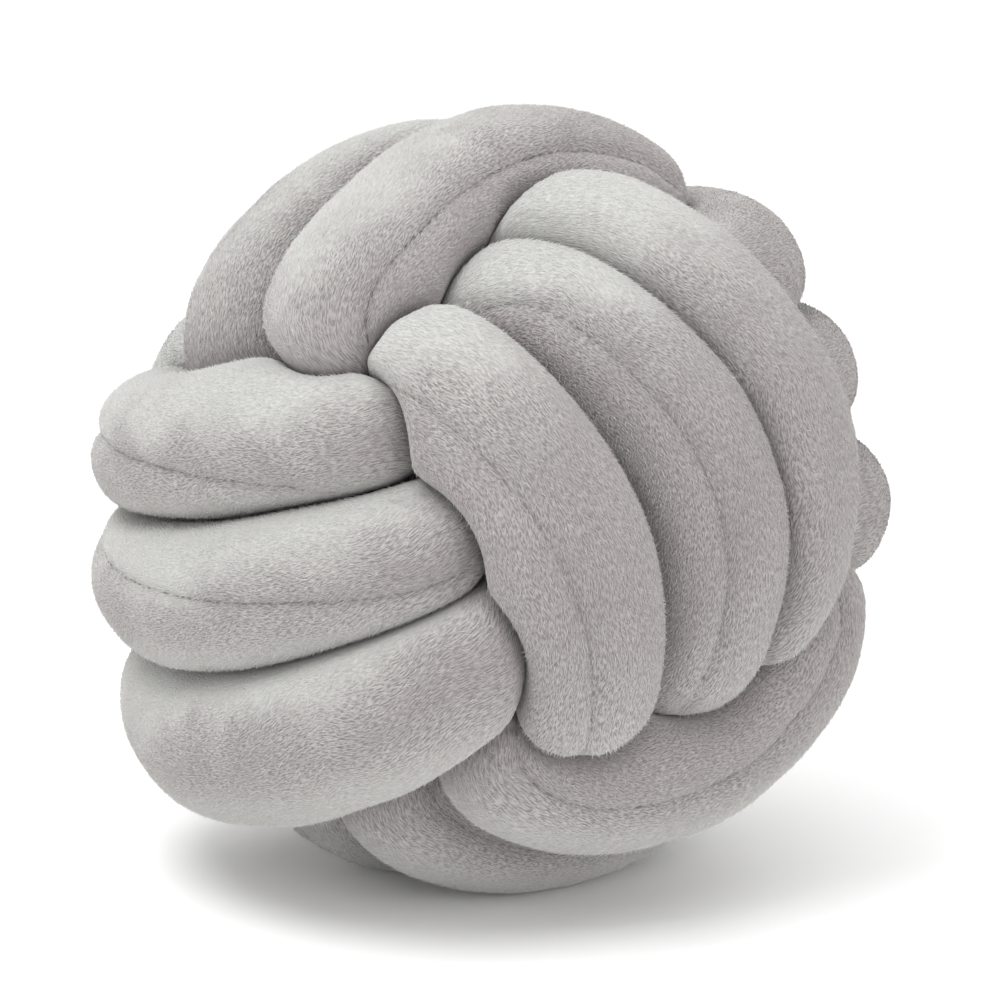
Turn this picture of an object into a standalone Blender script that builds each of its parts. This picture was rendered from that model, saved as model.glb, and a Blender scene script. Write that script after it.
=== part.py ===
"""Knot cushion: one stuffed plush tube laid up as a ball of three crossing girths, three turns each.

The tube starts inside the ball, makes the three turns of girth A, then B, then C, and ends inside.
Each turn shows as one arc on two opposite faces of the ball and dives under the next girth between.
"""

import math

import bpy
import numpy as np
from mathutils import Euler

MM = 0.001

# Driving dimensions of the knot, in metres
PITCH = 43.5 * MM            # spacing of the turns that lie side by side
CROWN_HEIGHT = 92.0 * MM     # centre of the tube above the ball's centre, where an arc shows
TUBE_RADIUS = 23.0 * MM      # the stuffed tube where nothing presses on it
DIVE_RADIUS = 23.5 * MM      # the same inside the ball
DIVE_HEIGHT = 55.5 * MM      # centre of the tube where it passes under the next girth
DIVE_CLOSING = 0.62          # how far the three turns close up in a dive, as a share of the pitch
CLOSING = 0.86               # the same at the ends of an arc that shows
GAP = 0.8 * MM               # air between two turns that press together
PRESS_POWER = 10             # how sharply a round side turns into a pressed one
CAP_LENGTH = 24.0 * MM       # rounded closed ends of the tube
FOOT_CUT = 5.2 * MM          # how far the underside is pressed flat by the ball's weight

# How the knot's three axes are turned in the room, and the mesh of the tube
LAY_DEG = (11, 12, -139)
RINGS = 328
SIDES = 18
OUTSIDE_SHARE = 0.3          # closer sides on the outer half, wider ones on the hidden half

# Cloth colour
PLUSH_HEX = "C9C4C0"
PLUSH_ROUGHNESS = 0.95

# Angle along an arc from its crown (degrees), and the tube's height there as a share of the crown's
DIVE_PROFILE = ((-62, 0.72), (-46, 0.955), (-24, 1.0), (0, 1.0), (24, 1.0), (46, 0.955), (62, 0.72))
ARC_END = 60.0

# The arcs that lie unevenly, in mm: girth, face and turn: offset across the girth at the crown, at the
# start and at the end of the arc, height of the centre, radius, extra height at the start and the end.
ARCS_MM = {
    ("A", 1, 1): (44, 40, 36, 92, 23, 0, 0),
    ("A", 1, 0): (5, 14, 12, 93, 23, -4, 2),
    ("A", 1, -1): (-36, -10, -26, 98, 27, -8, 4),
    ("A", -1, 1): (44, 37, 37, 94, 23, 0, 0),
    ("A", -1, 0): (8, 8, 8, 92, 23, 0, 0),
    ("A", -1, -1): (-30, -26, -26, 95, 23, 0, 0),
    ("B", 1, 1): (44, 61, 46, 92, 29, -2, -18),
    ("B", 1, 0): (-4, 38, 30, 91, 24, -12, -32),
    ("B", 1, -1): (-25, 22, 20, 92, 31, -14, -42),
    ("B", -1, 1): (37, 34, 27, 91, 23, 0, -14),
    ("C", 1, 1): (33, 44, 26, 89, 28, 10, -10),
    ("C", 1, 0): (-8, -2, -10, 88, 23, -5, 0),
    ("C", 1, -1): (-34, -25, -32, 88, 22, -32, -2),
    ("C", -1, 1): (60, 60, 48, 93, 27, -6, 0),
    ("C", -1, 0): (15, 12, 12, 91, 24, 0, 0),
    ("C", -1, -1): (-27, -18, -18, 91, 23, 0, 0),
}

# Arcs whose crown is turned along their run, in degrees
TURNED_DEG = {("B", 1, -1): -5}

# Order in which each girth lays its turns, and the route inside the ball before, between and after
GIRTHS = (("A", (-1, 0, 1)), ("B", (1, 0, -1)), ("C", (-1, 0, 1)))
START_MM = (-13, 15, -15)
LINKS_MM = {
    "A": ((-20, 41, 30), (20, 27, 37)),
    "B": ((-15, -20, 33), (33, -22, 24)),
    "C": (),
}
END_MM = (15, -9, -17)


def clear_scene():
    for thing in list(bpy.data.objects):
        bpy.data.objects.remove(thing, do_unlink=True)


def arc_sizes(girth, face, turn):
    """Sizes of one arc in metres; an arc without a row of its own is an even one."""
    even = turn * PITCH
    usual = (even, CLOSING * even, CLOSING * even, CROWN_HEIGHT, TUBE_RADIUS, 0.0, 0.0)
    row = ARCS_MM.get((girth, face, turn))
    return usual if row is None else tuple(value * MM for value in row)


def knot_point(axis, angle_deg, height, offset):
    """Point of a girth that stands out along one axis, at an angle along its run."""
    reach = math.sqrt(height * height - offset * offset)
    angle = math.radians(angle_deg)
    point = np.zeros(3)
    point[axis] = reach * math.cos(angle)
    point[(axis + 1) % 3] = -reach * math.sin(angle)
    point[(axis + 2) % 3] = offset
    return point


def arc_route(axis, girth, face, turn):
    """Waypoints and radii along one arc that shows."""
    crown, start, end, height, radius, rise_start, rise_end = arc_sizes(girth, face, turn)
    base = (0 if face > 0 else 180) + TURNED_DEG.get((girth, face, turn), 0)
    for angle, share in DIVE_PROFILE:
        x = angle / ARC_END
        offset = crown + 0.5 * (end - start) * x + (0.5 * (end + start) - crown) * x * x
        rise = (rise_start if angle < 0 else rise_end) * min(1.0, x * x)
        yield knot_point(axis, base + angle, share * height + rise, offset), radius


def tube_route():
    """The whole tube as waypoints of its centreline with the free radius at each."""
    route = [(np.array(START_MM) * MM, DIVE_RADIUS)]
    for axis, (girth, turns) in enumerate(GIRTHS):
        for number, turn in enumerate(turns):
            for face in (1, -1):
                route.extend(arc_route(axis, girth, face, turn))
                if face < 0 and number == len(turns) - 1:
                    continue
                following = turn if face > 0 else turns[number + 1]
                offset = 0.5 * (turn + following) * PITCH * DIVE_CLOSING
                height = math.hypot(DIVE_HEIGHT, offset)
                base = 90 if face > 0 else 270
                route.append((knot_point(axis, base, height, offset), DIVE_RADIUS))
        route.extend((np.array(link) * MM, DIVE_RADIUS) for link in LINKS_MM[girth])
    route.append((np.array(END_MM) * MM, DIVE_RADIUS))
    points, radii = zip(*route)
    return np.array(points), np.array(radii)


def smooth_curve(points, radii, count):
    """Natural cubic through the waypoints, at evenly spaced stations, with the radius at each."""
    step = np.linalg.norm(np.diff(points, axis=0), axis=1) ** 0.65
    knots = np.concatenate(([0.0], np.cumsum(step)))
    last = len(points) - 1
    matrix = np.eye(last + 1)
    right = np.zeros((last + 1, 3))
    for i in range(1, last):
        matrix[i, i - 1:i + 2] = step[i - 1], 2.0 * (step[i - 1] + step[i]), step[i]
        right[i] = 6.0 * ((points[i + 1] - points[i]) / step[i] - (points[i] - points[i - 1]) / step[i - 1])
    bend = np.linalg.solve(matrix, right)

    def at(value):
        i = np.clip(np.searchsorted(knots, value, side="right") - 1, 0, last - 1)
        width = step[i][:, None]
        before = (knots[i + 1] - value)[:, None]
        after = (value - knots[i])[:, None]
        cubic = (bend[i] * before ** 3 + bend[i + 1] * after ** 3) / (6.0 * width)
        return (cubic + (points[i] / width - bend[i] * width / 6.0) * before
                + (points[i + 1] / width - bend[i + 1] * width / 6.0) * after)

    fine = np.linspace(0.0, knots[-1], 9000)
    length = np.concatenate(([0.0], np.cumsum(np.linalg.norm(np.diff(at(fine), axis=0), axis=1))))
    stations = np.linspace(0.0, length[-1], count)
    value = np.interp(stations, length, fine)
    return at(value), np.interp(value, knots, radii), stations


def section_directions(centre):
    """Unit directions round each section; the first one points out of the ball."""
    tangent = np.gradient(centre, axis=0)
    tangent /= np.linalg.norm(tangent, axis=1)[:, None]
    outward = centre - (centre * tangent).sum(axis=1)[:, None] * tangent
    outward /= np.linalg.norm(outward, axis=1)[:, None]
    side = np.cross(tangent, outward)
    even = np.linspace(0.0, 2.0 * math.pi, SIDES, endpoint=False)
    angle = even - OUTSIDE_SHARE * np.sin(even)
    return (np.cos(angle)[None, :, None] * outward[:, None, :]
            + np.sin(angle)[None, :, None] * side[:, None, :])


def pressed_radii(centre, free, directions):
    """Radius in each direction: the stuffed tube's own, or less where another turn presses on it."""
    toward = centre[None, :, :] - centre[:, None, :]
    half_square = 0.5 * (toward * toward).sum(axis=2)
    limit = np.empty(directions.shape[:2])
    for i, section in enumerate(directions):
        facing = section @ toward[i].T
        ahead = facing > 1e-9
        reach = np.where(ahead, half_square[i] / np.where(ahead, facing, 1.0), 1.0)
        limit[i] = reach.min(axis=1)
    limit = np.maximum(limit - 0.5 * GAP, 1.0 * MM)
    own = np.broadcast_to(free[:, None], limit.shape)
    return (own ** -PRESS_POWER + limit ** -PRESS_POWER) ** (-1.0 / PRESS_POWER)


def closed_ends(stations):
    """Share of the full radius along the tube: 1, and rounded off to a small face at both ends."""
    to_end = np.minimum(stations, stations[-1] - stations) + 0.05 * CAP_LENGTH
    inside = np.clip(1.0 - to_end / CAP_LENGTH, 0.0, 1.0)
    return np.sqrt(1.0 - inside * inside)


def lay_down(points):
    """Turn the ball as it lies, press its underside flat and put that on the floor."""
    turn = np.array(Euler([math.radians(angle) for angle in LAY_DEG]).to_matrix())
    placed = points @ turn.T
    floor = placed[:, 2].min() + FOOT_CUT
    placed[:, 2] = np.maximum(placed[:, 2], floor) - floor
    middle = 0.5 * (placed[:, :2].min(axis=0) + placed[:, :2].max(axis=0))
    placed[:, :2] -= middle
    return placed


def tube_faces():
    """Quads between neighbouring sections, and a fan at each closed end."""
    faces = []
    for ring in range(RINGS - 1):
        near = ring * SIDES
        far = near + SIDES
        for i in range(SIDES):
            j = (i + 1) % SIDES
            faces.append((near + i, near + j, far + j, far + i))
    first_pole = RINGS * SIDES
    last_pole = first_pole + 1
    last_ring = first_pole - SIDES
    for i in range(SIDES):
        j = (i + 1) % SIDES
        faces.append((first_pole, j, i))
        faces.append((last_pole, last_ring + i, last_ring + j))
    return faces


def plush_material():
    material = bpy.data.materials.new("plush_warm_grey")
    material.use_nodes = True
    shader = material.node_tree.nodes["Principled BSDF"]
    channels = [int(PLUSH_HEX[i:i + 2], 16) / 255.0 for i in (0, 2, 4)]
    linear = [c / 12.92 if c <= 0.04045 else ((c + 0.055) / 1.055) ** 2.4 for c in channels]
    shader.inputs["Base Color"].default_value = (*linear, 1.0)
    shader.inputs["Roughness"].default_value = PLUSH_ROUGHNESS
    shader.inputs["Metallic"].default_value = 0.0
    return material


def make_tube():
    points, radii = tube_route()
    centre, free, stations = smooth_curve(points, radii, RINGS)
    directions = section_directions(centre)
    radius = pressed_radii(centre, free, directions) * closed_ends(stations)[:, None]
    surface = (centre[:, None, :] + radius[:, :, None] * directions).reshape(-1, 3)
    vertices = lay_down(np.vstack((surface, centre[:1], centre[-1:])))
    mesh = bpy.data.meshes.new("knot_tube")
    mesh.from_pydata(vertices.tolist(), [], tube_faces())
    mesh.materials.append(plush_material())
    mesh.shade_smooth()
    mesh.update()
    tube = bpy.data.objects.new("knot_tube", mesh)
    bpy.context.scene.collection.objects.link(tube)
    return tube


def main():
    clear_scene()
    make_tube()


if __name__ == "__main__":
    main()
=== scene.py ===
"""Knot cushion: the plush tube with its sewn seam, its stitches and its pile, on a plain floor.

The tube is the solid's knot again in a finer mesh, with the relief of its cloth. The pile is short tufts
that lie the way the plush is brushed, on all the cloth that shows.
"""

import functools
import math

import bpy
import numpy as np
from mathutils import Euler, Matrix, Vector, noise


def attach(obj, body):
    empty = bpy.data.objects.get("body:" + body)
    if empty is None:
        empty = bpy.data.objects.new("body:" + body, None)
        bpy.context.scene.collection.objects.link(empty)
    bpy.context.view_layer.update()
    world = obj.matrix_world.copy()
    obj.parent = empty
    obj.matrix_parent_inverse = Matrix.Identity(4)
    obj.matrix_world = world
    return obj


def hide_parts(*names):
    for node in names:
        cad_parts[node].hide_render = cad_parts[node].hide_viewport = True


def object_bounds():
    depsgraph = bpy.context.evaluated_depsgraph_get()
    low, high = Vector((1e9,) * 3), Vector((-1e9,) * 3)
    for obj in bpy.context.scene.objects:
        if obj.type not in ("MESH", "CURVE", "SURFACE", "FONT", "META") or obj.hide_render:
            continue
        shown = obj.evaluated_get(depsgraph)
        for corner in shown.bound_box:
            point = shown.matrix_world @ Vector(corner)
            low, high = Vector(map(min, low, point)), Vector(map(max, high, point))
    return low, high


bl_info = {
    "name": "Knot cushion",
    "version": (1, 0, 0),
    "blender": (4, 5, 0),
    "location": "View3D > Sidebar > Knot cushion",
    "description": "Makes a ball-shaped knot cushion of one stuffed plush tube",
    "category": "Add Mesh",
}

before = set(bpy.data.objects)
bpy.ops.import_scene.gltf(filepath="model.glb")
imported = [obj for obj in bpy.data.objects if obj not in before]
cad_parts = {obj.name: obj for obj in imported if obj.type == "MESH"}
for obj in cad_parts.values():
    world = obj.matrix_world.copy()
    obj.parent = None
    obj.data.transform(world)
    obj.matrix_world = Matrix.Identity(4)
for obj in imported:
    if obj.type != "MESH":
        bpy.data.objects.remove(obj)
CAD_LOW, CAD_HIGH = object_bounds()

MM = 0.001

# Driving dimensions of the knot, as in the solid
PITCH = 43.5 * MM            # spacing of the turns that lie side by side
DIVE_RADIUS = 23.5 * MM      # the stuffed tube inside the ball
DIVE_HEIGHT = 55.5 * MM      # centre of the tube where it passes under the next girth
DIVE_CLOSING = 0.62          # how far the three turns close up in a dive, as a share of the pitch
GAP = 0.6 * MM               # air between two turns that press together, a little less than the solid's
PRESS_POWER = 10             # how sharply a round side turns into a pressed one
LEAST_RADIUS = 1.0 * MM      # no section is pressed thinner than this
CAP_LENGTH = 24.0 * MM       # rounded closed ends of the tube
CAP_FACE = 0.05              # share of that length left for a small flat face
CHORD_POWER = 0.65           # how far the curve's own measure follows the distance between waypoints
LAY_DEG = (11, 12, -139)     # how the knot's three axes are turned in the room

# Mesh of the tube: closer rings where it shows, closer sides on its outer half
RINGS = 1780
SIDES = 56
OUTSIDE_SHARE = 0.5
SHOWN_FROM = 74.0 * MM       # a centreline further out than this shows
HIDDEN_DENSITY = 0.35        # rings to a millimetre inside the ball, as a share of those outside
CURVE_STEPS = 24000          # fine steps along the curve, from which the rings' places are read
CENTRE_STEP = 3              # every third ring stands for the centreline where turns press together
EDGE_ROUNDS = 3              # rounds of averaging that soften the edges of the pressed faces

# Angle along an arc from its crown (degrees), and the tube's height there as a share of the crown's
DIVE_PROFILE = ((-62, 0.72), (-46, 0.955), (-24, 1.0), (0, 1.0), (24, 1.0), (46, 0.955), (62, 0.72))
ARC_END = 60.0

# Girth, face and turn: offset across the girth at the crown, start and end of the arc, height, radius,
# extra height at start and end (all mm); seam's place round the tube at start, crown and end (degrees,
# 0 faces out of the ball).
ARCS = {
    ("A", 1, -1): (-36, -10, -26, 98, 27, -8, 4, -150, -150, -140),
    ("A", -1, -1): (-30, -26, -26, 95, 23, 0, 0, -120, -90, -65),
    ("A", 1, 0): (5, 14, 12, 93, 23, -4, 2, -60, 17, 40),
    ("A", -1, 0): (8, 8, 8, 92, 23, 0, 0, 30, -20, -60),
    ("A", 1, 1): (44, 40, 36, 92, 23, 0, 0, -112, -27, 20),
    ("A", -1, 1): (44, 37, 37, 94, 23, 0, 0, 60, 80, 80),
    ("B", 1, 1): (44, 61, 46, 92, 29, -2, -18, 25, 4, -14),
    ("B", -1, 1): (37, 34, 27, 91, 23, 0, -14, 0, 30, 60),
    ("B", 1, 0): (-4, 38, 30, 91, 24, -12, -32, 20, 34, 0),
    ("B", -1, 0): (0, 0, 0, 92, 23, 0, 0, 30, 60, 100),
    ("B", 1, -1): (-25, 22, 20, 92, 31, -14, -42, 130, 150, 140),
    ("B", -1, -1): (-43.5, -37.4, -37.4, 92, 23, 0, 0, 110, 60, 20),
    ("C", 1, -1): (-34, -25, -32, 88, 22, -32, -2, 40, 60, 80),
    ("C", -1, -1): (-27, -18, -18, 91, 23, 0, 0, 60, 20, -10),
    ("C", 1, 0): (-8, -2, -10, 88, 23, -5, 0, -110, -120, -100),
    ("C", -1, 0): (15, 12, 12, 91, 24, 0, 0, -40, 35, 55),
    ("C", 1, 1): (33, 44, 26, 89, 28, 10, -10, 22, 38, 33),
    ("C", -1, 1): (60, 60, 48, 93, 27, -6, 0, 38, 25, 12),
}
TURNED_DEG = {("B", 1, -1): -5}              # an arc that is turned on along its girth
GIRTHS = (("A", (-1, 0, 1)), ("B", (1, 0, -1)), ("C", (-1, 0, 1)))    # each with its turns in order
START_MM = (-13, 15, -15)
START_SEAM_DEG = -150.0
LINKS_MM = {                                 # waypoints inside the ball, after each girth
    "A": ((-20, 41, 30), (20, 27, 37)),
    "B": ((-15, -20, 33), (33, -22, 24)),
    "C": (),
}
END_MM = (15, -9, -17)
END_SEAM_DEG = 20.0

NOISE_STEP = (17.3, 5.1, 9.7)                # each seed reads the noise this far on from the one before
# Layers of noise, each with its share or height, the size of its lumps and its seed
LUMPS = ((1.0, 34 * MM, 1), (0.5, 15 * MM, 2))                       # of the filling
COMBING = ((4.5 * MM, 26 * MM, 5), (1.2 * MM, 11 * MM, 6))           # how far the streaks sway aside
PATCHES = ((1.0, 42 * MM, 7), (0.6, 15 * MM, 8), (0.4, 6 * MM, 9))   # of lighter and darker pile

# Wrinkles run round the tube: how much slower their noise changes that way, their size along it, seed
CREASES = (0.35, 9 * MM, 3)
PUCKERS = (0.5, 5 * MM, 4)
USUAL_RADIUS = 22.0 * MM     # of the tube, where wrinkles are measured round it
CREASE_CREST = 0.35          # height of a crease, as a share of the creases' height
CREASE_FALL = 1.8            # how fast the cloth falls off beside it
STRAIGHT_CREASE = 0.25       # share of the creases that is left where the tube doesn't bend away
BEND_FROM = 90 * MM          # it bends away where its centreline is nearer to the ball's centre than this
BEND_OVER = 12 * MM          # and wholly, once it is nearer by this much more
FREE_ROOM = 0.25             # spare room, as a share of the radius, where the relief has its full height

# The lengthwise seam: share of its depth and half width of the groove and of the cloth drawn in beside it
SEAM_GROOVES = ((0.8, 1.7 * MM), (0.8, 6 * MM))
PUCKER_SHARE = 0.4           # of the small puckers beside it, and how far they reach
PUCKER_REACH = 7 * MM
SEAM_LEAST = 0.75            # share of its depth where its mark is 0; it is twice as deep where that is 1
SEAM_SMOOTHING = 18 * MM     # reach of the average that evens out the seam's place along the tube
MARK_SMOOTHING = 20 * MM     # and its mark
# The mark, which is how strongly the seam shows, on each girth, on its face 1 and its face -1
SEAM_MARK = {1: (0.6, 0.45, 1.0), -1: (0.3, 0.6, 0.7)}
SEAM_FAN = math.radians(25)  # how far the pile turns away from the seam on both sides
SEAM_FAN_REACH = 12 * MM     # distance from the seam by which it has done so
LEAST_COMB = 0.2             # keeps the combed streaks from folding back on themselves

# Stitches of the seam: half sizes, depth in the pile, its random share (low, high, seed)
STITCH_SIZE = (0.95 * MM, 0.28 * MM, 0.28 * MM)
STITCH_SINK = 0.35 * MM
STITCH_DEPTH = (0.1, -1.0, 3)
STITCH_ROOM = 0.15           # a stitch shows where the relief has more than this share of its height

# Tone of the pile, 0 to 1: painted light and shade by the way the cloth faces, with random lighter and
# darker patches
TONE_SHARES = (-0.8, -0.45, -0.1, 0.25, 0.6, 0.95, 1.3)    # from the dark and shaded pile colour to the light and lit one
PAINTED_LIGHT_SIDE = Vector((-0.42, -0.12, 0.90))    # the side from which light is painted onto the pile
EVEN_FACING = 0.6            # how squarely cloth of the middle tone faces that side
MIDDLE_TONE = 0.5
TONE_SLOPE = (1.0, 1.8, 1.4)                 # how fast painted shade darkens it away from that side, on each girth
# How much lighter the pile lies on each girth, on its face 1 and its face -1
GIRTH_TONE = {1: (0.20, 0.25, -0.22), -1: (-0.20, 0.22, -0.22)}
PATCH_TONE = 0.3
UNDER_PAINTED_LIGHT = 0.8             # painted light: how much lighter the pile is drawn where it faces down under the ball
UNDER_SLOPE = 1.2            # how soon it is so, from cloth that hangs upright to cloth that faces down

# Cloth that shows and carries pile
SHOWN_ROOM = 0.87            # its room, as a share of the stuffed tube's radius
SHOWN_AWAY = 68 * MM         # its distance from the ball's middle
SHOWN_FACING = -0.1          # how squarely it faces out of the ball
BARE_FOOT = 2.5 * MM         # height over the floor up to which the foot has no pile

# Pieces of the pile: name, girth, and which face of the ball (1 or -1)
PILE_PIECES = (
    ("pile_left", 0, 1), ("pile_right", 0, -1), ("pile_front", 1, 1), ("pile_back", 1, -1),
    ("pile_top", 2, 1), ("pile_bottom", 2, -1),
)
PILE_SEED = 11               # each piece scatters its tufts from a seed of its own near this one
MOST_TUFTS = 49000           # in one piece
TUFT_FACES = 4
TUFT_DENSITY = 4.0e6         # tufts to a square metre, before their spacing thins them out
TUFT_FLATNESS = 0.6          # thickness of a tuft, as a share of its width
TUFT_SPREAD = math.radians(34)    # how far single tufts turn aside from the way the pile lies
TUFT_SINK = 0.25 * MM        # depth of a tuft's root in the cloth
CLUMP_SIZE = 0.9 * MM        # of the clumps in which tufts stand up or lie down together
CALM_FROM = 0.65             # tone above which neighbouring tufts are more alike
CALM_RATE = 2.0              # how fast they grow so
# Random draws of each tuft (low, high, seed): shares of the spread, lean, width and length, and of a tone
TUFT_DRAWS = {
    "sway": (-1.0, 1.0, 1), "lean": (0.5, 1.3, 2), "width": (0.7, 1.3, 4), "length": (0.6, 1.3, 5),
    "tone": (-0.55, 0.45, 6),
}

# Patterns on the cloth itself, along and across the streaks of its pile
UV_NAME = "cloth"
FIBRE_STREAK = (1.3 * MM, 0.4 * MM)
TUFT_STREAK = (1.8 * MM, 0.6 * MM)
SEAM_PATCH = (5 * MM, 5 * MM)
POLE_VALUE = 0.02            # of every pattern at the tube's two hidden ends
# Each step runs from one value to another, and gives the third at the first and the fourth at the second
FIBRE_STEP = (0.34, 0.64, 0.95, 0.0)              # fibre noise, to how far the painted shade between the streaks shows
CALM_STEP = (0.35, 1.0, 1.0, 0.3)                 # tone, to how strong that painted shade is
STITCH_STEP = (-0.6, 0.6, 0.35, 1.0)              # place in a stitch, to how dark the seam is
FADE_STEP = (0.4, 0.6, 0.3, 1.0)                  # patch noise, to the same
LINE_STEP = (0.1 * MM, 0.7 * MM, 1.0, 0.0)        # distance from the seam, to the same
SEAM_SHADE = 0.55            # brightness of the seam's line of painted shade, as a share of the painted gap shade colour
TUFT_BUMP = {"Strength": 0.6, "Distance": 0.6 * MM}
FIBRE_BUMP = {"Strength": 1.0, "Distance": 0.5 * MM}

# Stage: half width of the floor; name, place, width and power of each soft light (metres, watts)
FLOOR_REACH = 12.0
LIGHTS = (
    ("window_side", (-0.6, -0.6, 1.5), 0.9, 13.0),
    ("ceiling", (0.3, 1.0, 2.6), 3.6, 20.0),
    ("low_right", (1.2, -1.0, 0.2), 0.9, 6.0),
)
ROOM_LIGHT = 1.0             # strength of the even white light from all round
AIM_RIGHT = 4.4 * MM         # how far from the ball's middle the camera aims
AIM_DOWN = 0.9 * MM
CAMERA_NEAR = 0.05           # the camera sees nothing nearer than this


def linear(colour):
    """An sRGB hex colour as linear red, green and blue."""
    channels = [int(colour[i:i + 2], 16) / 255.0 for i in (0, 2, 4)]
    return tuple(c / 12.92 if c <= 0.04045 else ((c + 0.055) / 1.055) ** 2.4 for c in channels)


# ---------------------------------------------------------------- settings a user would change

class CushionSettings(bpy.types.PropertyGroup):
    """Sizes and colours of the cushion"""
    lump_height: bpy.props.FloatProperty(
        name="Lump height", description="Unevenness of the filling under the cloth",
        default=0.9 * MM, unit="LENGTH")
    crease_height: bpy.props.FloatProperty(
        name="Crease height", description="Height of the soft creases where the tube bends away",
        default=0.6 * MM, unit="LENGTH")
    seam_depth: bpy.props.FloatProperty(
        name="Seam depth", description="How far the lengthwise seam draws the cloth in",
        default=1.4 * MM, unit="LENGTH")
    stitch_pitch: bpy.props.FloatProperty(
        name="Stitch pitch", description="Length of one stitch and its gap along the seam",
        default=3.0 * MM, unit="LENGTH")
    fill: bpy.props.FloatProperty(
        name="Fill", description="How tightly the tube is stuffed", default=0.8, min=0.0, max=1.0,
        subtype="FACTOR")
    tuft_spacing: bpy.props.FloatProperty(
        name="Tuft spacing", description="Distance between neighbouring tufts of the pile",
        default=0.74 * MM, unit="LENGTH")
    tuft_length: bpy.props.FloatProperty(
        name="Tuft length", description="Length of the pile's tufts", default=1.6 * MM, unit="LENGTH")
    tuft_width: bpy.props.FloatProperty(
        name="Tuft width", description="Width of a tuft at its root", default=0.35 * MM, unit="LENGTH")
    tuft_lean: bpy.props.FloatProperty(
        name="Tuft lean", description="Angle of a tuft above the cloth", default=math.radians(24),
        subtype="ANGLE")
    # Painted light: the pile's colour on the side that faces the painted light, and in its lighter patches
    light_and_lit_pile_colour: bpy.props.FloatVectorProperty(
        name="Light pile colour", description="Colour of the pile where it is brushed light", size=3,
        subtype="COLOR", default=linear("BEBEBB"))
    # Painted shade: the pile's colour on the side turned away from the painted light, and in its darker
    # patches
    dark_and_shaded_pile_colour: bpy.props.FloatVectorProperty(
        name="Dark pile colour", description="Colour of the pile where it is brushed dark", size=3,
        subtype="COLOR", default=linear("A39E9D"))
    # Painted shade: the darker colour drawn between the streaks, down in the pile
    gap_shade_colour: bpy.props.FloatVectorProperty(
        name="Root colour", description="Colour between the tufts of the pile", size=3, subtype="COLOR",
        default=linear("7E7978"))
    thread_colour: bpy.props.FloatVectorProperty(
        name="Thread colour", description="Colour of the seam's thread", size=3, subtype="COLOR",
        default=linear("7C7673"))


class StageSettings(bpy.types.PropertyGroup):
    """Sizes and colours of the floor and the camera"""
    camera_distance: bpy.props.FloatProperty(
        name="Camera distance", description="From the ball's centre to the camera", default=1.2,
        unit="LENGTH")
    camera_elevation: bpy.props.FloatProperty(
        name="Camera elevation", description="Angle of the camera above the horizon",
        default=math.radians(12), subtype="ANGLE")
    picture_width: bpy.props.FloatProperty(
        name="Picture width", description="Width of the picture at the ball's centre", default=290 * MM,
        unit="LENGTH")
    floor_colour: bpy.props.FloatVectorProperty(
        name="Floor colour", description="Colour of the plain floor", size=3, subtype="COLOR",
        default=linear("FCFCFC"))


# ---------------------------------------------------------------- the knot's route and sections

def knot_point(axis, angle_deg, height, offset):
    """Point of a girth that stands out along one axis, at an angle along its run."""
    reach = math.sqrt(height * height - offset * offset)
    angle = math.radians(angle_deg)
    point = np.zeros(3)
    point[axis] = reach * math.cos(angle)
    point[(axis + 1) % 3] = -reach * math.sin(angle)
    point[(axis + 2) % 3] = offset
    return point


def along_arc(x, middle, start, end):
    """Value on the smooth run from start over middle to end; x goes from -1 to 1."""
    return middle + 0.5 * (end - start) * x + (0.5 * (end + start) - middle) * x * x


def tube_route():
    """Waypoints of the centreline, with the free radius, the seam's angle, the girth and face at each."""
    route = [(np.array(START_MM) * MM, DIVE_RADIUS, START_SEAM_DEG, 0, 1)]
    for axis, (girth, turns) in enumerate(GIRTHS):
        for number, turn in enumerate(turns):
            for face in (1, -1):
                row = ARCS[girth, face, turn]
                crown, start, end, height, radius, rise_start, rise_end = (v * MM for v in row[:7])
                seam_start, seam_crown, seam_end = row[7:]
                base = 0 if face > 0 else 180
                for angle, share in DIVE_PROFILE:
                    x = angle / ARC_END
                    rise = (rise_start if angle < 0 else rise_end) * min(1.0, x * x)
                    turned = base + angle + TURNED_DEG.get((girth, face, turn), 0)
                    place = knot_point(axis, turned, share * height + rise, along_arc(x, crown, start, end))
                    seam = along_arc(x, seam_crown, seam_start, seam_end)
                    route.append((place, radius, seam, axis, face))
                if face < 0 and number == len(turns) - 1:
                    continue
                following = turn if face > 0 else turns[number + 1]
                offset = 0.5 * (turn + following) * PITCH * DIVE_CLOSING
                place = knot_point(axis, base + 90, math.hypot(DIVE_HEIGHT, offset), offset)
                route.append((place, DIVE_RADIUS, None, axis, face))
        route.extend((np.array(link) * MM, DIVE_RADIUS, None, axis, -1) for link in LINKS_MM[girth])
    route.append((np.array(END_MM) * MM, DIVE_RADIUS, END_SEAM_DEG, len(GIRTHS) - 1, -1))
    return route


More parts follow.
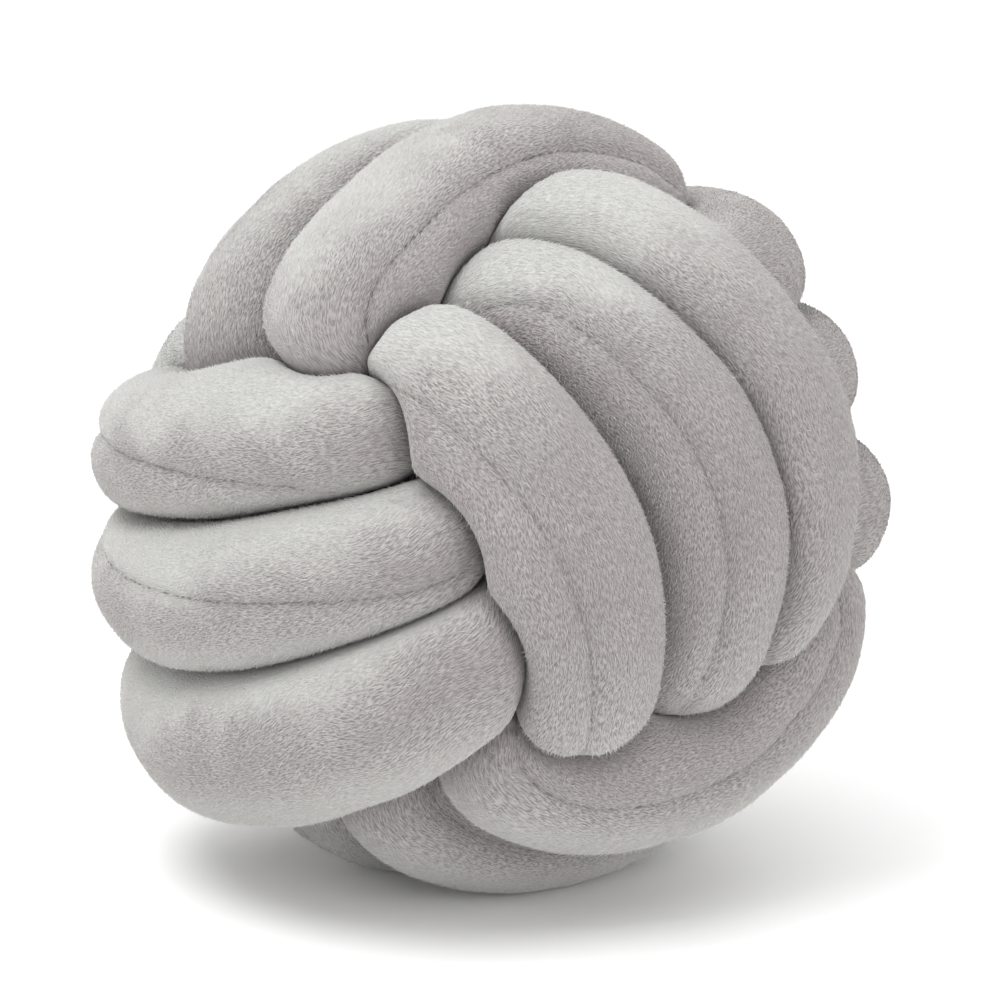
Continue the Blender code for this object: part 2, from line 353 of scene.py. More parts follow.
def smooth_curve(points, values, count):
    """Natural cubic through the waypoints, its rings closer where the tube shows."""
    step = np.linalg.norm(np.diff(points, axis=0), axis=1) ** CHORD_POWER
    knots = np.concatenate(([0.0], np.cumsum(step)))
    last = len(points) - 1
    matrix = np.eye(last + 1)
    right = np.zeros((last + 1, 3))
    for i in range(1, last):
        matrix[i, i - 1:i + 2] = step[i - 1], 2.0 * (step[i - 1] + step[i]), step[i]
        right[i] = 6.0 * ((points[i + 1] - points[i]) / step[i] - (points[i] - points[i - 1]) / step[i - 1])
    bend = np.linalg.solve(matrix, right)

    def at(value):
        i = np.clip(np.searchsorted(knots, value, side="right") - 1, 0, last - 1)
        width = step[i][:, None]
        before = (knots[i + 1] - value)[:, None]
        after = (value - knots[i])[:, None]
        cubic = (bend[i] * before ** 3 + bend[i + 1] * after ** 3) / (6.0 * width)
        return (cubic + (points[i] / width - bend[i] * width / 6.0) * before
                + (points[i + 1] / width - bend[i + 1] * width / 6.0) * after)

    fine = np.linspace(0.0, knots[-1], CURVE_STEPS)
    place = at(fine)
    pieces = np.linalg.norm(np.diff(place, axis=0), axis=1)
    length = np.concatenate(([0.0], np.cumsum(pieces)))
    shown = np.linalg.norm(place[1:], axis=1) > SHOWN_FROM
    spacing = np.concatenate(([0.0], np.cumsum(pieces * np.where(shown, 1.0, HIDDEN_DENSITY))))
    value = np.interp(np.linspace(0.0, spacing[-1], count), spacing, fine)
    stations = np.interp(value, fine, length)
    return at(value), stations, [np.interp(value, knots, column) for column in values]


def section_frames(centre, stations):
    """Tangent, outward and sideways directions at each ring."""
    tangent = np.gradient(centre, stations, axis=0)
    tangent /= np.linalg.norm(tangent, axis=1)[:, None]
    outward = centre - (centre * tangent).sum(axis=1)[:, None] * tangent
    outward /= np.linalg.norm(outward, axis=1)[:, None]
    return tangent, outward, np.cross(tangent, outward)


def pressed_radii(centre, free, directions):
    """Radius in each direction: the stuffed tube's own, or less where another turn presses on it.

    The second result is the room up to the half-way plane between the two turns.
    """
    others = centre[::CENTRE_STEP].astype(np.float32)
    limit = np.empty(directions.shape[:2], np.float32)
    for i, section in enumerate(directions.astype(np.float32)):
        toward = others - centre[i].astype(np.float32)
        half_square = 0.5 * (toward * toward).sum(axis=1)
        facing = section @ toward.T
        ahead = (facing > 1e-8) & (half_square > 1e-9)    # so neither this ring nor what lies behind it
        limit[i] = np.where(ahead, half_square / np.where(ahead, facing, 1.0), 1.0).min(axis=1)
    limit = np.maximum(limit - 0.5 * GAP, LEAST_RADIUS)
    own = np.broadcast_to(free[:, None], limit.shape)
    return (own ** -PRESS_POWER + limit ** -PRESS_POWER) ** (-1.0 / PRESS_POWER), limit


def closed_ends(stations):
    """Share of the full radius along the tube: 1, and rounded off to a small face at both ends."""
    to_end = np.minimum(stations, stations[-1] - stations) + CAP_FACE * CAP_LENGTH
    inside = np.clip(1.0 - to_end / CAP_LENGTH, 0.0, 1.0)
    return np.sqrt(1.0 - inside * inside)


def smooth_along(values, stations, reach):
    """Moving average of a value along the tube, on steps of a millimetre."""
    even = np.linspace(0.0, stations[-1], int(stations[-1] / MM))
    window = np.hanning(int(2 * reach / MM) | 1)
    padded = np.pad(np.interp(even, stations, values), len(window) // 2, mode="edge")
    return np.interp(stations, even, np.convolve(padded, window / window.sum(), mode="valid"))


def smooth_step(x):
    """Soft rise from 0 to 1 while x does the same."""
    x = np.clip(x, 0.0, 1.0)
    return x * x * (3.0 - 2.0 * x)


def softened(values, rounds):
    """Average each value with its neighbours along and round the tube, which rounds the pressed edges."""
    for _ in range(rounds):
        around = 0.5 * values + 0.25 * (np.roll(values, 1, axis=1) + np.roll(values, -1, axis=1))
        values = around.copy()
        values[1:-1] = 0.5 * around[1:-1] + 0.25 * (around[:-2] + around[2:])
    return values


def noise_field(points, size, seed):
    """Smooth noise from -1 to 1 with lumps of about one size, read at many points."""
    shift = Vector([seed * step for step in NOISE_STEP])
    scale = 1.0 / size
    flat = points.reshape(-1, 3)
    values = [noise.noise(Vector(point) * scale + shift) for point in flat.tolist()]
    return np.array(values).reshape(points.shape[:-1])


def layered_noise(points, layers):
    """Sum of layers of noise, each a share, a size and a seed."""
    return sum(share * noise_field(points, size, seed) for share, size, seed in layers)


def placing(surface):
    """How the ball is turned as it lies, and the place of its middle, from the solid's box."""
    turning = np.array(Euler([math.radians(angle) for angle in LAY_DEG]).to_matrix())
    placed = surface.reshape(-1, 3) @ turning.T
    low, high = placed.min(axis=0), placed.max(axis=0)
    middle = 0.5 * (np.array(CAD_LOW) + np.array(CAD_HIGH)) - 0.5 * (low + high)
    middle[2] = CAD_HIGH.z - high[2]
    return turning, middle


def store(mesh, name, values):
    """Keep a number or a direction at each point of a mesh, for its material or a node tree to read."""
    kind, field = ("FLOAT_VECTOR", "vector") if values.ndim > 1 else ("FLOAT", "value")
    mesh.attributes.new(name, kind, "POINT").data.foreach_set(field, values.astype(np.float32).reshape(-1))


class KnotShape:
    """The stuffed tube's whole shape: rings, relief, seam line, pile and where it lies in the room."""

    def __init__(self, settings):
        points, radii, seams, girths, faces = zip(*tube_route())
        known = [i for i, seam in enumerate(seams) if seam is not None]
        seams = np.interp(range(len(seams)), known, [seams[i] for i in known])
        centre, self.stations, (free, seam, girth, face) = smooth_curve(
            np.array(points), (radii, seams, girths, faces), RINGS)
        self.girth = np.round(girth).astype(int)
        self.face = np.where(face > 0, 1, -1)
        self.seam = smooth_along(np.radians(seam), self.stations, SEAM_SMOOTHING)
        self.seam_mark = smooth_along(self.by_face(SEAM_MARK), self.stations, MARK_SMOOTHING)

        tangent, outward, side = section_frames(centre, self.stations)
        even = np.linspace(-math.pi, math.pi, SIDES + 1)
        self.angle = even - OUTSIDE_SHARE * np.sin(even)
        angle = self.angle[:-1]
        directions = (np.cos(angle)[None, :, None] * outward[:, None, :]
                      + np.sin(angle)[None, :, None] * side[:, None, :])
        apart = (angle[None, :] - self.seam[:, None] + math.pi) % (2 * math.pi) - math.pi
        self.apart = apart * free[:, None]

        radius, limit = pressed_radii(centre, free, directions)
        self.room = smooth_step((limit / free[:, None] - 1.0) / FREE_ROOM)
        base = centre[:, None, :] + radius[:, :, None] * directions
        relief = self.relief(settings, base, angle, np.linalg.norm(centre, axis=1))
        radius = softened(radius, EDGE_ROUNDS)
        radius = (radius + relief * self.room) * closed_ends(self.stations)[:, None]
        surface = centre[:, None, :] + radius[:, :, None] * directions
        self.around = self.way_round(surface)
        self.turning, self.middle = placing(surface)
        self.surface = self.lay_down(surface)
        self.centre = self.lay_down(centre)

        self.comb = layered_noise(base, COMBING)
        self.nap = self.pile_directions(tangent, directions)
        self.tone = self.pile_tone_and_painted_light(base, directions)
        from_middle = self.surface - self.middle
        away = np.linalg.norm(from_middle, axis=2)
        from_centre = self.surface - self.centre[:, None, :]
        facing = (from_centre * from_middle).sum(axis=2) / (radius * away + 1e-9)
        self.shown = ((limit > SHOWN_ROOM * free[:, None]) & (away > SHOWN_AWAY) & (facing > SHOWN_FACING)
                      & (self.surface[..., 2] > CAD_LOW.z + BARE_FOOT))

    def by_face(self, values):
        """A table's value for the girth and face that each ring is on."""
        places = zip(self.face.tolist(), self.girth.tolist())
        return np.array([values[face][girth] for face, girth in places])

    def relief(self, settings, base, angle, depth):
        """Height of the cloth over the evenly stuffed shape."""
        along = np.broadcast_to(self.stations[:, None], base.shape[:2])
        around = np.broadcast_to(USUAL_RADIUS * angle[None, :], base.shape[:2])

        def wrinkles(slower, size, seed):
            points = np.stack((along, slower * around, np.zeros_like(along)), axis=-1)
            return noise_field(points, size, seed)

        crease = CREASE_CREST - CREASE_FALL * np.abs(wrinkles(*CREASES))
        bending = smooth_step((BEND_FROM - depth) / BEND_OVER)[:, None]
        seam = sum(share * np.exp(-(self.apart / width) ** 2) for share, width in SEAM_GROOVES)
        seam = seam - PUCKER_SHARE * wrinkles(*PUCKERS) * np.exp(-(self.apart / PUCKER_REACH) ** 2)
        seam = seam * (SEAM_LEAST + SEAM_LEAST * self.seam_mark[:, None])
        return (settings.lump_height * layered_noise(base, LUMPS)
                + settings.crease_height * crease * (STRAIGHT_CREASE + (1.0 - STRAIGHT_CREASE) * bending)
                - settings.seam_depth * seam)

    def way_round(self, surface):
        """Distance round the cloth at each point of a ring, from the line that faces out of the ball."""
        steps = np.linalg.norm(np.roll(surface, -1, axis=1) - surface, axis=2)
        distance = np.concatenate((np.zeros((RINGS, 1)), np.cumsum(steps, axis=1)), axis=1)
        return distance - distance[:, SIDES // 2, None]

    def lay_down(self, points):
        """Turn and place the ball as it lies, and press its foot flat on the floor."""
        placed = points @ self.turning.T + self.middle
        placed[..., 2] = np.maximum(placed[..., 2], CAD_LOW.z)
        return placed

    def pile_directions(self, tangent, directions):
        """The way the pile lies at each point: along the combed streaks, and fanning out from the seam."""
        along_slope = np.gradient(self.comb, self.stations, axis=0)
        around_slope = np.gradient(self.comb, axis=1) / np.gradient(self.around[:, :-1], axis=1)
        sway = np.arctan2(-along_slope, np.maximum(1.0 + around_slope, LEAST_COMB))
        sway = sway + SEAM_FAN * np.tanh(self.apart / SEAM_FAN_REACH)
        across = np.cross(tangent[:, None, :], directions)
        nap = np.cos(sway)[..., None] * tangent[:, None, :] + np.sin(sway)[..., None] * across
        return nap @ self.turning.T

    def pile_tone_and_painted_light(self, base, directions):
        """Tone of the pile from 0 to 1: painted light where the cloth faces one side and where it faces
        down, painted shade away from that side, with random patches and a tone for each girth.
        """
        out = directions @ self.turning.T
        # Painted light and shade: the pile is drawn lighter where the cloth faces the painted light's side,
        # darker away from it
        facing = out @ np.array(PAINTED_LIGHT_SIDE)
        under = smooth_step(-UNDER_SLOPE * out[..., 2])
        slope = np.array(TONE_SLOPE)[self.girth][:, None]
        girth = self.by_face(GIRTH_TONE)[:, None]
        patches = layered_noise(base, PATCHES)
        tone = smooth_step(MIDDLE_TONE + slope * (facing - EVEN_FACING) + PATCH_TONE * patches + girth)
        # Painted light: the pile is drawn lighter where it faces down, under the ball
        return tone + UNDER_PAINTED_LIGHT * under

    def quads(self):
        """Faces between neighbouring rings."""
        ring = np.arange(RINGS - 1)[:, None] * SIDES
        i = np.arange(SIDES)[None, :]
        j = (i + 1) % SIDES
        return np.stack((ring + i, ring + j, ring + SIDES + j, ring + SIDES + i), axis=-1).reshape(-1, 4)

    def tube_mesh(self, name):
        """The closed tube, its UV map in metres along and round it, and the values its plush reads."""
        count = RINGS * SIDES
        poles = np.array([self.centre[0], self.centre[-1]])
        vertices = np.vstack((self.surface.reshape(-1, 3), poles))
        fans = []
        for i in range(SIDES):
            j = (i + 1) % SIDES
            fans.append((count, j, i))
            fans.append((count + 1, count - SIDES + i, count - SIDES + j))
        mesh = bpy.data.meshes.new(name)
        mesh.from_pydata(vertices.tolist(), [], self.quads().tolist() + fans)
        low = np.repeat(self.stations[:-1, None], SIDES, axis=1)
        high = np.repeat(self.stations[1:, None], SIDES, axis=1)
        left, right = self.around[:, :-1], self.around[:, 1:]
        corners = np.stack((low, left[:-1], low, right[:-1], high, right[1:], high, left[1:]), axis=-1)
        uv = np.concatenate((corners.reshape(-1), np.zeros(2 * np.array(fans).size)))
        mesh.uv_layers.new(name=UV_NAME).data.foreach_set("uv", uv.astype(np.float32))
        seam_mark = np.broadcast_to(self.seam_mark[:, None], self.apart.shape)
        for key, values in (("seam_distance", self.apart), ("seam_mark", seam_mark), ("tone", self.tone),
                            ("comb", self.comb)):
            store(mesh, key, np.append(values, (POLE_VALUE, POLE_VALUE)))
        mesh.shade_smooth()
        mesh.update()
        return mesh

    def shown_mesh(self, girth, face):
        """The part of one girth that shows on one face, with the pile's direction and tone at each point."""
        wanted = (self.shown & ((self.girth == girth) & (self.face == face))[:, None]).reshape(-1)
        quads = self.quads()
        used, quads = np.unique(quads[wanted[quads].all(axis=1)], return_inverse=True)
        mesh = bpy.data.meshes.new("shown_cloth")
        mesh.from_pydata(self.surface.reshape(-1, 3)[used].tolist(), [], quads.reshape(-1, 4).tolist())
        store(mesh, "nap", self.nap.reshape(-1, 3)[used])
        store(mesh, "tone", self.tone.reshape(-1)[used])
        return mesh

    def seam_line(self):
        """Points on the seam, the cloth's direction out there, and which of them show."""
        turn = (self.seam + math.pi) % (2 * math.pi) - math.pi
        index = np.interp(turn, self.angle, np.arange(SIDES + 1))
        low = np.floor(index).astype(int) % SIDES
        high = (low + 1) % SIDES
        share = (index - np.floor(index))[:, None]
        ring = np.arange(RINGS)
        line = self.surface[ring, low] * (1 - share) + self.surface[ring, high] * share
        out = line - self.centre
        out /= np.linalg.norm(out, axis=1)[:, None]
        return line, out, self.shown[ring, low] & (self.room[ring, low] > STITCH_ROOM)


def add_object(name, data):
    """Put a mesh, a light or a camera into the scene."""
    thing = bpy.data.objects.new(name, data)
    bpy.context.scene.collection.objects.link(thing)
    return thing


# ---------------------------------------------------------------- nodes and materials

MATH = "ShaderNodeMath"
VECTOR_MATH = "ShaderNodeVectorMath"
MIX = "ShaderNodeMix"
MAP_RANGE = "ShaderNodeMapRange"
SMOOTH = {"interpolation_type": "SMOOTHSTEP"}
NOISE = "ShaderNodeTexNoise"
RANDOM = "FunctionNodeRandomValue"
STORED = "GeometryNodeInputNamedAttribute"
ALIGN = "FunctionNodeAlignRotationToVector"


def feed(tree, node, inputs):
    """Give a node its inputs: each is a value, or the socket that feeds it."""
    for name, value in inputs.items():
        if isinstance(value, bpy.types.NodeSocket):
            tree.links.new(value, node.inputs[name])
        else:
            node.inputs[name].default_value = value


def add_node(tree, kind, inputs=(), output=0, **settings):
    """Add a node with its settings and inputs, named or in their order, and give back one output."""
    node = tree.nodes.new(kind)
    for name, value in settings.items():
        setattr(node, name, value)
    feed(tree, node, inputs if isinstance(inputs, dict) else dict(enumerate(inputs)))
    return node.outputs[output]


def new_material(name, inputs):
    """Material whose even values stand on its shader's own sockets."""
    material = bpy.data.materials.new(name)
    material.use_nodes = True
    feed(material.node_tree, material.node_tree.nodes["Principled BSDF"], inputs)
    return material


# Short polyester plush: matt, with the faint bloom of upright fibre tips at its edges
SOFT_PILE = {
    "Roughness": 0.9, "Specular IOR Level": 0.2, "Sheen Weight": 0.35, "Sheen Roughness": 0.4,
    "Sheen Tint": (*linear("F7F6F5"), 1.0),
}


def plush_material(settings):
    """Knitted polyester plush: fine streaks along the tube that sway, over painted light and shade and
    random lighter and darker patches.

    Single fibres are too fine to show, so a streak is a lock of them, drawn 0.4 mm wide and 1.3 mm long.
    Between the streaks a darker colour paints the shade down in the pile, most where painted shade already
    darkens it. A dashed line of painted shade marks the sewn seam.
    """
    material = new_material("brushed_polyester_plush", SOFT_PILE)
    tree = material.node_tree
    add = functools.partial(add_node, tree)
    cloth = add("ShaderNodeUVMap", uv_map=UV_NAME)
    comb, tone, seam, mark = (
        add("ShaderNodeAttribute", output="Fac", attribute_name=name)
        for name in ("comb", "tone", "seam_distance", "seam_mark"))
    combed = add(VECTOR_MATH, (cloth, add("ShaderNodeCombineXYZ", {"Y": comb})), operation="ADD")

    def streaks(length, width):
        place = add("ShaderNodeMapping", {"Vector": combed, "Scale": (1.0 / length, 1.0 / width, 1.0)})
        return add(NOISE, {"Vector": place, "Scale": 1.0, "Detail": 1.0, "Roughness": 0.5}, output="Fac")

    fibres = streaks(*FIBRE_STREAK)
    gaps = add(MAP_RANGE, (fibres, *FIBRE_STEP), **SMOOTH)
    strength = add(MAP_RANGE, (tone, *CALM_STEP), **SMOOTH)
    # Painted shade between the streaks, strongest where the tone is dark
    gap_shade = add(MATH, (gaps, strength), operation="MULTIPLY")
    # Painted light and shade: the pile's colour runs from the shaded colour to the lit one with the tone
    lit_and_shaded_tone_colour = add(MIX, {0: tone, 6: (*settings.dark_and_shaded_pile_colour, 1.0), 7: (*settings.light_and_lit_pile_colour, 1.0)},
                  output=2, data_type="RGBA")
    plush = add(MIX, {0: gap_shade, 6: lit_and_shaded_tone_colour, 7: (*settings.gap_shade_colour, 1.0)}, output=2, data_type="RGBA")

    along = add("ShaderNodeSeparateXYZ", {"Vector": cloth}, output="X")
    turns = add(MATH, (along, 2.0 * math.pi / settings.stitch_pitch), operation="MULTIPLY")
    stitches = add(MAP_RANGE, (add(MATH, (turns,), operation="SINE"), *STITCH_STEP), **SMOOTH)
    faded = add(MAP_RANGE, (streaks(*SEAM_PATCH), *FADE_STEP), **SMOOTH)
    dashes = add(MATH, (stitches, faded), operation="MULTIPLY")
    marked = add(MATH, (dashes, mark), operation="MULTIPLY")
    line = add(MAP_RANGE, (add(MATH, (seam,), operation="ABSOLUTE"), *LINE_STEP), **SMOOTH)
    shade = add(MATH, (line, marked), operation="MULTIPLY")
    # Painted shade: a dashed darker line along the seam's groove
    seam_colour = (*(SEAM_SHADE * c for c in settings.gap_shade_colour), 1.0)
    colour = add(MIX, {0: shade, 6: plush, 7: seam_colour}, output=2, data_type="RGBA")

    tufts = add("ShaderNodeBump", {"Height": streaks(*TUFT_STREAK), **TUFT_BUMP})
    bumps = add("ShaderNodeBump", {"Height": fibres, "Normal": tufts, **FIBRE_BUMP})
    feed(tree, tree.nodes["Principled BSDF"], {"Base Color": colour, "Normal": bumps})
    return material


def tuft_material(name, colour):
    """Polyester pile fibres: one even colour, matt with a faint bloom."""
    return new_material(name, {"Base Color": (*colour, 1.0), **SOFT_PILE})


def thread_material(settings):
    """Spun polyester sewing thread: matt, half sunk between the tufts."""
    return new_material("polyester_sewing_thread", {
        "Base Color": (*settings.thread_colour, 1.0), "Roughness": 0.8})


def floor_material(settings):
    """Matt white studio board: an even pale ground with a soft shadow."""
    return new_material("pale_floor", {"Base Color": (*settings.floor_colour, 1.0), "Roughness": 0.9})


# ---------------------------------------------------------------- pieces

def make_tube(settings, shape):
    """The stuffed plush tube in its knot."""
    mesh = shape.tube_mesh("plush_tube")
    mesh.materials.append(plush_material(settings))
    tube = add_object("plush_tube", mesh)
    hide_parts("knot_tube")
    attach(tube, "root")


def new_tree(name, inputs):
    """Geometry node tree with a mesh in and out, and named inputs; its second result gives them out."""
    tree = bpy.data.node_groups.new(name, "GeometryNodeTree")
    tree.interface.new_socket("Geometry", in_out="INPUT", socket_type="NodeSocketGeometry")
    for key, kind in inputs.items():
        tree.interface.new_socket(key, in_out="INPUT", socket_type="NodeSocket" + kind)
    tree.interface.new_socket("Geometry", in_out="OUTPUT", socket_type="NodeSocketGeometry")
    return tree, tree.nodes.new("NodeGroupInput").outputs


def rotation(tree, axis, along, other_axis, toward):
    """Rotation that lays one axis along a direction, and turns another one toward a second direction."""
    turned = add_node(tree, ALIGN, {"Vector": along}, axis=axis)
    return add_node(tree, ALIGN, {"Rotation": turned, "Vector": toward}, axis=other_axis, pivot_axis=axis)


def finish_tree(tree, instances, materials):
    """End a tree: instances made real, and each material set where its selection holds."""
    result = add_node(tree, "GeometryNodeRealizeInstances", {"Geometry": instances})
    for material, selection in materials:
        result = add_node(tree, "GeometryNodeSetMaterial", {
            "Geometry": result, "Material": material, "Selection": selection})
    feed(tree, tree.nodes.new("NodeGroupOutput"), {"Geometry": result})


def grown_piece(name, source, tree, values):
    """Plain piece that a node tree grows from a source mesh."""
    ground = add_object("source", source)
    modifier = ground.modifiers.new(name, "NODES")
    modifier.node_group = tree
    for item in tree.interface.items_tree:
        if item.in_out == "INPUT" and item.name in values:
            modifier[item.identifier] = values[item.name]
    graph = bpy.context.evaluated_depsgraph_get()
    mesh = bpy.data.meshes.new_from_object(ground.evaluated_get(graph))
    mesh.name = name
    ground.modifiers.remove(modifier)
    bpy.data.objects.remove(ground, do_unlink=True)
    bpy.data.meshes.remove(source)
    piece = add_object(name, mesh)
    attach(piece, "root")
    return piece


def stitch_tree(material):
    """Stitches of a named pitch and size, laid along a seam line and half lost in the pile."""
    tree, given = new_tree("seam_stitches", {"Pitch": "Float", "Stitch Size": "Vector", "Sink": "Float"})
    add = functools.partial(add_node, tree)
    curve = add("GeometryNodeMeshToCurve", {"Mesh": given["Geometry"]})
    curve = add("GeometryNodeResampleCurve", {"Curve": curve, "Length": given["Pitch"]}, mode="LENGTH")
    out = add(STORED, {"Name": "out"}, data_type="FLOAT_VECTOR")
    low, high, seed = STITCH_DEPTH
    share = add(RANDOM, {2: low, 3: high, "Seed": seed}, output=1)
    depth = add(MATH, (share, given["Sink"]), operation="MULTIPLY")
    sunk = add(VECTOR_MATH, {0: out, "Scale": depth}, operation="SCALE")
    points = add("GeometryNodeSetPosition", {"Geometry": curve, "Offset": sunk})
    turned = rotation(tree, "X", add("GeometryNodeInputTangent"), "Z", out)
    stitch = add("GeometryNodeMeshUVSphere", {"Segments": 6, "Rings": 4, "Radius": 1.0})
    placed = add("GeometryNodeInstanceOnPoints", {
        "Points": points, "Instance": stitch, "Rotation": turned, "Scale": given["Stitch Size"]})
    finish_tree(tree, placed, [(material, True)])
    return tree


def make_stitches(settings, shape):
    """The stitches that show along the lengthwise seam."""
    line, out, shown = shape.seam_line()
    edges = [(i, i + 1) for i in range(RINGS - 1) if shown[i] and shown[i + 1]]
    source = bpy.data.meshes.new("seam_line")
    source.from_pydata(line.tolist(), edges, [])
    store(source, "out", out)
    stitches = grown_piece("seam_stitches", source, stitch_tree(thread_material(settings)), {
        "Pitch": settings.stitch_pitch, "Stitch Size": STITCH_SIZE, "Sink": STITCH_SINK})
    stitches.data.shade_smooth()


def pile_tree(materials):
    """Leaning tufts of a named size, scattered over shown cloth; the tone picks their material.

    Single fibres are too fine to show, so each tuft stands for a lock of them.
    """
    tree, given = new_tree("plush_pile", {
        "Spacing": "Float", "Density": "Float", "Tuft Size": "Vector", "Lean": "Float", "Spread": "Float",
        "Clump Scale": "Float", "Seed": "Int"})
    add = functools.partial(add_node, tree)

    def turned_toward(first, second, angle):
        """First direction, turned by an angle toward the second, which stands square to it."""
        parts = [add(VECTOR_MATH, {0: part, "Scale": add(MATH, (angle,), operation=wave)}, operation="SCALE")
                 for part, wave in ((first, "COSINE"), (second, "SINE"))]
        return add(VECTOR_MATH, parts, operation="ADD")

    points = add("GeometryNodeDistributePointsOnFaces", {
        "Mesh": given["Geometry"], "Distance Min": given["Spacing"], "Density Max": given["Density"],
        "Seed": given["Seed"]}, distribute_method="POISSON")
    normal = points.node.outputs["Normal"]
    draw = {name: add(RANDOM, {2: low, 3: high, "Seed": seed}, output=1)
            for name, (low, high, seed) in TUFT_DRAWS.items()}
    clump = add(NOISE, {"Scale": given["Clump Scale"], "Detail": 1.0}, output="Fac")
    clump = add(MATH, (add(MATH, (clump, 0.5), operation="SUBTRACT"), 2.0), operation="MULTIPLY")

    nap = add(STORED, {"Name": "nap"}, data_type="FLOAT_VECTOR")
    across = add(VECTOR_MATH, (normal, nap), operation="CROSS_PRODUCT")
    sway = add(MATH, (draw["sway"], given["Spread"]), operation="MULTIPLY")
    share = add(MATH, (clump, draw["lean"]), operation="ADD")
    lean = add(MATH, (given["Lean"], share), operation="MULTIPLY")
    direction = turned_toward(turned_toward(nap, across, sway), normal, lean)
    sunk = add(VECTOR_MATH, {0: direction, "Scale": -TUFT_SINK}, operation="SCALE")
    varied = add("ShaderNodeCombineXYZ", {"X": 1.0, "Y": draw["width"], "Z": draw["length"]})
    tuft = add("GeometryNodeMeshCone", {
        "Vertices": 3, "Side Segments": 1, "Radius Top": 0.0, "Radius Bottom": 0.5, "Depth": 1.0},
        fill_type="NGON")
    placed = add("GeometryNodeInstanceOnPoints", {
        "Points": add("GeometryNodeSetPosition", {"Geometry": points, "Offset": sunk}), "Instance": tuft,
        "Rotation": rotation(tree, "Z", direction, "X", normal),
        "Scale": add(VECTOR_MATH, (given["Tuft Size"], varied), operation="MULTIPLY")})

    tone = add(STORED, {"Name": "tone"}, data_type="FLOAT")
    over = add(MATH, (add(MATH, (tone, CALM_FROM), operation="SUBTRACT"), 0.0), operation="MAXIMUM")
    lively = add(MATH, (1.0, add(MATH, (over, CALM_RATE), operation="MULTIPLY")), operation="SUBTRACT")
    change = add(MATH, (lively, add(MATH, (clump, draw["tone"]), operation="ADD")), operation="MULTIPLY")
    picked = add(MATH, (tone, change), operation="ADD")
    placed = add("GeometryNodeStoreNamedAttribute", {"Geometry": placed, "Name": "picked", "Value": picked},
                 data_type="FLOAT", domain="INSTANCE")
    picked = add(STORED, {"Name": "picked"}, data_type="FLOAT")
    lighter = [add(MATH, (picked, 0.5 * (below + above)), operation="GREATER_THAN")
               for below, above in zip(TONE_SHARES, TONE_SHARES[1:])]
    finish_tree(tree, placed, zip(materials, (True, *lighter)))
    return tree


def make_pile(settings, shape):
    """The pile's tufts that show, one piece for each girth and face of the knot."""
    tones = []
    # Lit and shaded copies of the pile's material: the tone, with its painted light and shade, picks one for
    # each tuft
    for i, share in enumerate(TONE_SHARES):
        colour = tuple(a + share * (b - a) for a, b in zip(settings.dark_and_shaded_pile_colour, settings.light_and_lit_pile_colour))
        tones.append(tuft_material(f"plush_pile_lit_and_shaded_tone_{i + 1}", colour))
    tree = pile_tree(tones)
    width = settings.tuft_width
    values = {
        "Spacing": settings.tuft_spacing, "Density": TUFT_DENSITY, "Lean": settings.tuft_lean,
        "Tuft Size": (TUFT_FLATNESS * width, width, settings.tuft_length), "Spread": TUFT_SPREAD,
        "Clump Scale": 1.0 / CLUMP_SIZE,
    }
    for name, girth, face in PILE_PIECES:
        values["Seed"] = PILE_SEED + 3 * girth + face
        piece = grown_piece(name, shape.shown_mesh(girth, face), tree, values)
        attributes = piece.data.attributes
        for used in ("nap", "tone", "picked"):
            if used in attributes:
                attributes.remove(attributes[used])
        count = len(piece.data.polygons)
        if count > TUFT_FACES * MOST_TUFTS:
            raise RuntimeError(f"{name} has {count} faces; widen the tuft spacing")


def soft_light(name, place, width, power, target):
    """Round soft light that faces the ball."""
    data = bpy.data.lights.new(name, "AREA")
    data.shape = "DISK"
    data.size = width
    data.energy = power
    lamp = add_object(name, data)
    lamp.location = place
    lamp.rotation_euler = (target - Vector(place)).to_track_quat("-Z", "Y").to_euler()


def make_stage(stage, middle):
    """Plain floor, soft studio light, and the camera at the photo's angle."""
    mesh = bpy.data.meshes.new("floor")
    corners = ((-1, -1), (1, -1), (1, 1), (-1, 1))
    mesh.from_pydata([(FLOOR_REACH * x, FLOOR_REACH * y, CAD_LOW.z) for x, y in corners], [], [(0, 1, 2, 3)])
    mesh.materials.append(floor_material(stage))
    add_object("floor", mesh)
    world = bpy.data.worlds.new("studio")
    world.use_nodes = True
    feed(world.node_tree, world.node_tree.nodes["Background"], {
        "Color": (*linear("FFFFFF"), 1.0), "Strength": ROOM_LIGHT})
    bpy.context.scene.world = world
    for light in LIGHTS:
        soft_light(*light, middle)
    bpy.context.scene.view_settings.view_transform = "Standard"
    tilt = stage.camera_elevation
    back = Vector((0.0, -math.cos(tilt), math.sin(tilt)))
    up = Vector((0.0, math.sin(tilt), math.cos(tilt)))
    aim = middle + Vector((AIM_RIGHT, 0.0, 0.0)) - AIM_DOWN * up
    data = bpy.data.cameras.new("camera")
    data.lens = data.sensor_width * stage.camera_distance / stage.picture_width
    data.clip_start = CAMERA_NEAR
    camera = add_object("camera", data)
    camera.location = aim + stage.camera_distance * back
    camera.rotation_euler = (-back).to_track_quat("-Z", "Y").to_euler()
    bpy.context.scene.camera = camera


# ---------------------------------------------------------------- operators and panel

SHAPE = {}


def knot_shape(context, anew=False):
    """The knot's shape, worked out when the tube is made and kept for the other pieces."""
    if anew or "knot" not in SHAPE:
        SHAPE["knot"] = KnotShape(context.scene.knot_cushion)
    return SHAPE["knot"]


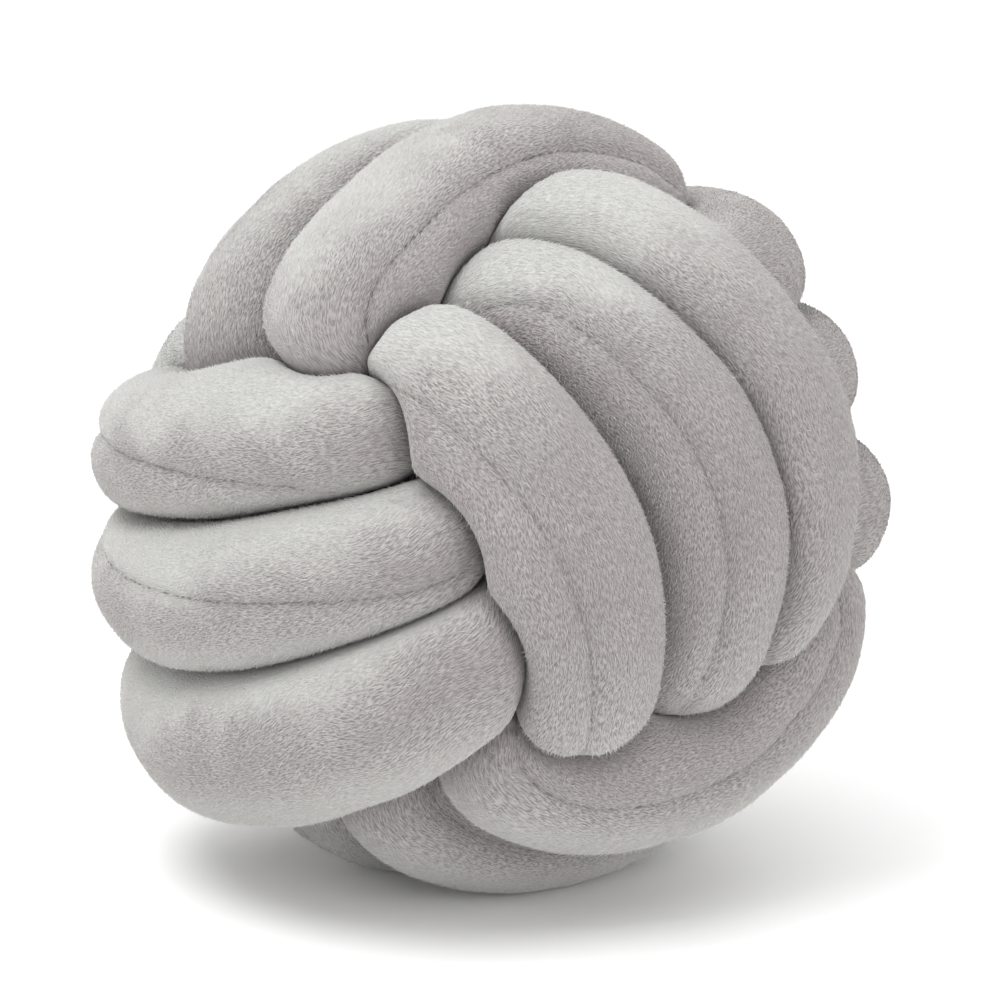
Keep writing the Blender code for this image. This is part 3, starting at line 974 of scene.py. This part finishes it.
class CUSHION_OT_tube(bpy.types.Operator):
    """Make the stuffed plush tube in its knot"""
    bl_idname = "cushion.tube"
    bl_label = "Plush tube"

    def execute(self, context):
        make_tube(context.scene.knot_cushion, knot_shape(context, anew=True))
        return {"FINISHED"}


class CUSHION_OT_stitches(bpy.types.Operator):
    """Make the stitches of the lengthwise seam"""
    bl_idname = "cushion.stitches"
    bl_label = "Seam stitches"

    def execute(self, context):
        make_stitches(context.scene.knot_cushion, knot_shape(context))
        return {"FINISHED"}


class CUSHION_OT_pile(bpy.types.Operator):
    """Make the tufts of the plush's short pile"""
    bl_idname = "cushion.pile"
    bl_label = "Plush pile"

    def execute(self, context):
        make_pile(context.scene.knot_cushion, knot_shape(context))
        return {"FINISHED"}


class CUSHION_OT_stage(bpy.types.Operator):
    """Make the floor, the lights and the camera"""
    bl_idname = "cushion.stage"
    bl_label = "Stage"

    def execute(self, context):
        make_stage(context.scene.knot_stage, Vector(knot_shape(context).middle))
        return {"FINISHED"}


OPERATORS = (CUSHION_OT_tube, CUSHION_OT_stitches, CUSHION_OT_pile, CUSHION_OT_stage)


class CUSHION_PT_panel(bpy.types.Panel):
    """Lists the steps that make the cushion"""
    bl_idname = "CUSHION_PT_panel"
    bl_label = "Knot cushion"
    bl_space_type = "VIEW_3D"
    bl_region_type = "UI"
    bl_category = "Knot cushion"

    def draw(self, context):
        for operator in OPERATORS:
            self.layout.operator(operator.bl_idname)
        for settings in (context.scene.knot_cushion, context.scene.knot_stage):
            for name in settings.__annotations__:
                self.layout.prop(settings, name)


CLASSES = (CushionSettings, StageSettings, *OPERATORS, CUSHION_PT_panel)


def register():
    for item in CLASSES:
        bpy.utils.register_class(item)
    bpy.types.Scene.knot_cushion = bpy.props.PointerProperty(type=CushionSettings)
    bpy.types.Scene.knot_stage = bpy.props.PointerProperty(type=StageSettings)


def unregister():
    del bpy.types.Scene.knot_stage
    del bpy.types.Scene.knot_cushion
    for item in reversed(CLASSES):
        bpy.utils.unregister_class(item)


def main():
    register()
    bpy.ops.cushion.tube()
    bpy.ops.cushion.stitches()
    bpy.ops.cushion.pile()
    bpy.ops.cushion.stage()


if __name__ == "__main__":
    main()
